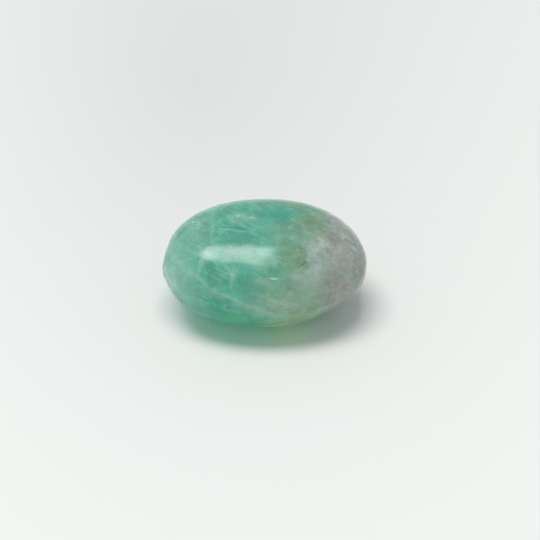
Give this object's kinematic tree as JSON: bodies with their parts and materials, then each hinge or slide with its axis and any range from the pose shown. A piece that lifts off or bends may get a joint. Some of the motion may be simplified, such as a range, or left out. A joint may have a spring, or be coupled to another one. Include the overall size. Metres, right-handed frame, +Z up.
{
  "type": "tumbled fluorite stone",
  "caption": "Polished tumbled pebble of banded green and grey fluorite: a rounded oval stone with soft worn flats and one small flat to rest on.",
  "frame": {"origin": "on the ground under the middle of the stone, at the centre of its box's underside", "axes": "+X along the stone's length towards its grey end, +Y towards its back, +Z up through its thickness"},
  "size_m": [0.0298, 0.0216, 0.0162],
  "materials": {
    "fluorite": "tumble-polished and slightly see-through, teal green with whitish veils, running through olive into a milky grey end"
  },
  "bodies": {
    "root": {"fluorite": "fluorite"}
  },
  "joints": []
}
